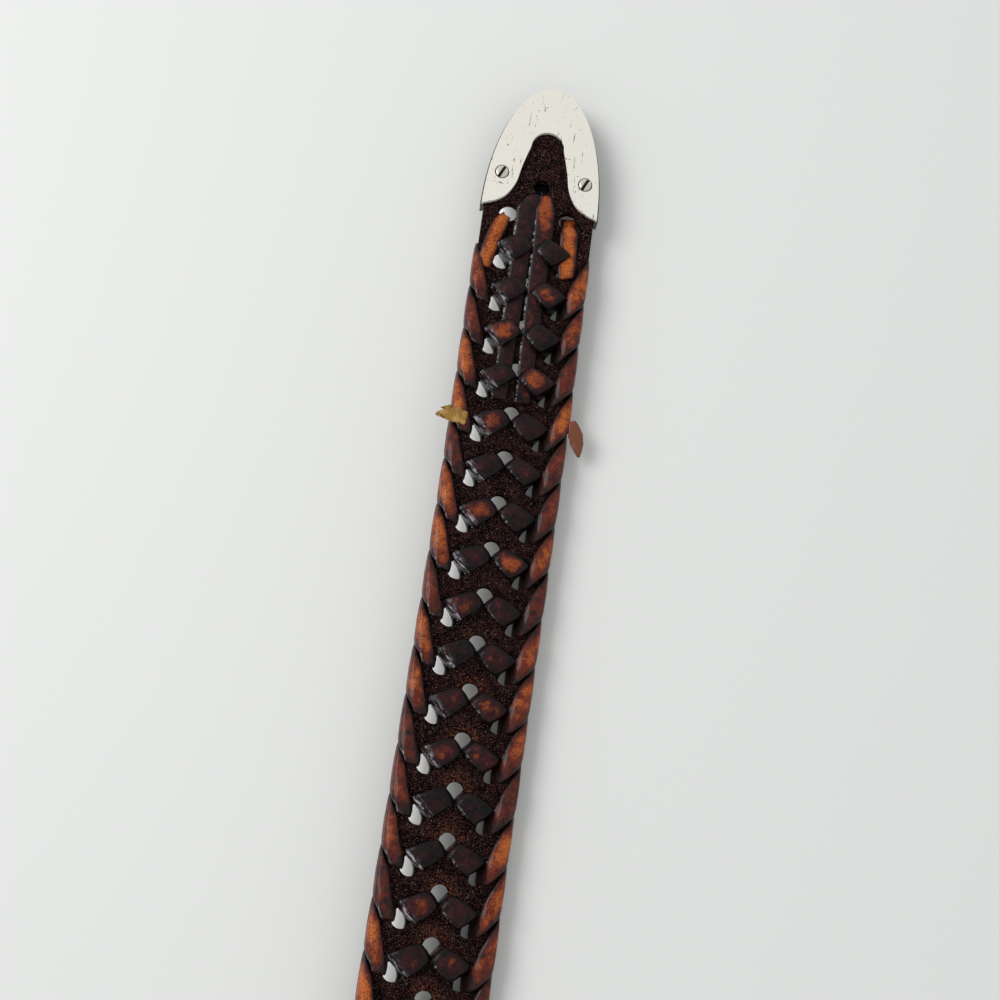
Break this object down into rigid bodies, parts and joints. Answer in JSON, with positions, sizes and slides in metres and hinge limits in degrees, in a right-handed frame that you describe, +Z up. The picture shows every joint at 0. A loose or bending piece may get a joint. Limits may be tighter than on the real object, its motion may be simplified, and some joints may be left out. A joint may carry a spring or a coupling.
{
  "type": "braided belt",
  "caption": "Leather belt laced with thongs along both edges and down the middle, with a screwed metal tip and a plain buckle, lying flat with its back up.",
  "frame": {"origin": "middle of the bounding box's underside, on the surface that the belt lies on", "axes": "+Y along the belt to the point of its metal tip, +X to the right edge as seen from above with the tip away, +Z up through the belt's back"},
  "size_m": [0.042, 0.8406, 0.0097],
  "materials": {
    "strap_leather": "worn suede back, nearly black brown, with tan fibres",
    "edge_thong": "glossy antiqued orange brown with pores and dark edges",
    "centre_thong": "glossy dark burgundy brown",
    "torn_end": "torn and frayed, raw tan at the tear",
    "tip_metal": "old silver colour, satin, with fine scratches",
    "screw_metal": "slotted screw heads, dark in the slot",
    "buckle_metal": "plain satin silver colour"
  },
  "bodies": {
    "root": {"base_strap": "strap_leather", "left_edge_lace": "edge_thong", "right_edge_lace": "edge_thong", "left_centre_lace": "centre_thong", "right_centre_lace": "centre_thong", "tip_front_shell": "tip_metal", "tip_back_plate": "tip_metal", "tip_screw_left": "screw_metal", "tip_screw_right": "screw_metal", "lace_end_left": "torn_end", "lace_end_right": "torn_end", "buckle": "buckle_metal"}
  },
  "joints": []
}
